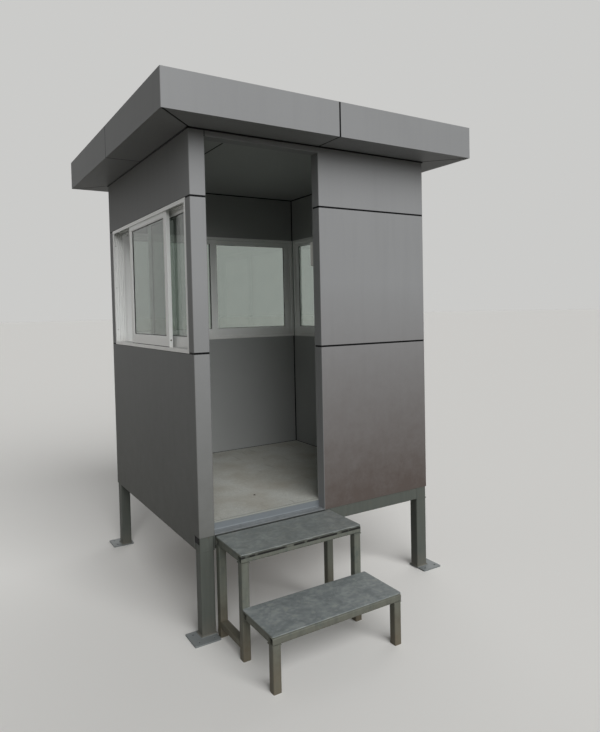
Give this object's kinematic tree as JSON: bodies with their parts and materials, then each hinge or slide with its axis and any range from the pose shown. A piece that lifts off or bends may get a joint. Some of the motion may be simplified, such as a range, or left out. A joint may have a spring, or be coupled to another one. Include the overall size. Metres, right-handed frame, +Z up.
{
  "type": "guard booth",
  "caption": "Square guard booth on steel legs: silver panel walls, sliding windows, open doorway, flat overhanging roof and loose steel steps.",
  "frame": {"origin": "on the ground under the middle of the booth, at the centre of the anchor holes in the ground plates", "axes": "+Z up, -Y out of the doorway, +X to the right as seen from outside the doorway"},
  "size_m": [1.9, 2.27, 2.668],
  "materials": {
    "silver_composite": "satin metallic coating on aluminium composite sheet",
    "grey_steel": "satin grey paint on welded steel tube",
    "galvanised_steel": "weathered galvanised steel",
    "white_aluminium": "white powder coating on aluminium sections",
    "window_glass": "clear float glass with a faint green tint",
    "black_sealant": "black silicone",
    "plywood": "plywood boards",
    "grey_vinyl": "light grey sheet flooring",
    "insulation": "foam board",
    "grey_lining": "light grey coated composite sheet",
    "white_plastic": "moulded white plastic"
  },
  "bodies": {
    "root": {"front_post_cladding": "silver_composite", "front_upper_panel": "silver_composite", "front_middle_panel": "silver_composite", "front_lower_panel": "silver_composite", "left_lower_panel": "silver_composite", "left_upper_panel": "silver_composite", "right_lower_panel": "silver_composite", "right_upper_panel": "silver_composite", "back_lower_panel": "silver_composite", "back_upper_panel": "silver_composite", "rear_corner_cladding": "silver_composite", "soffit_panels": "silver_composite", "fascia_panels": "silver_composite", "columns": "grey_steel", "ground_plates": "grey_steel", "base_beams": "grey_steel", "floor_joists": "grey_steel", "window_rails": "grey_steel", "door_frame_rails": "grey_steel", "ring_beam": "grey_steel", "eaves_frame": "grey_steel", "roof_struts": "grey_steel", "door_sill": "galvanised_steel", "roof_sheet": "galvanised_steel", "step_upper_tread": "galvanised_steel", "step_lower_tread": "galvanised_steel", "step_upper_legs": "galvanised_steel", "step_upper_rim": "galvanised_steel", "step_lower_legs": "galvanised_steel", "step_lower_rim": "galvanised_steel", "left_window_frame": "white_aluminium", "right_window_frame": "white_aluminium", "back_window_frame": "white_aluminium", "left_window_sashes": "white_aluminium", "right_window_sashes": "white_aluminium", "back_window_sashes": "white_aluminium", "window_panes": "window_glass", "joint_seals": "black_sealant", "floor_deck": "plywood", "floor_covering": "grey_vinyl", "wall_cores": "insulation", "wall_linings": "grey_lining", "front_lining": "grey_lining", "ceiling_panel": "grey_lining", "switch_box": "white_plastic"}
  },
  "joints": []
}
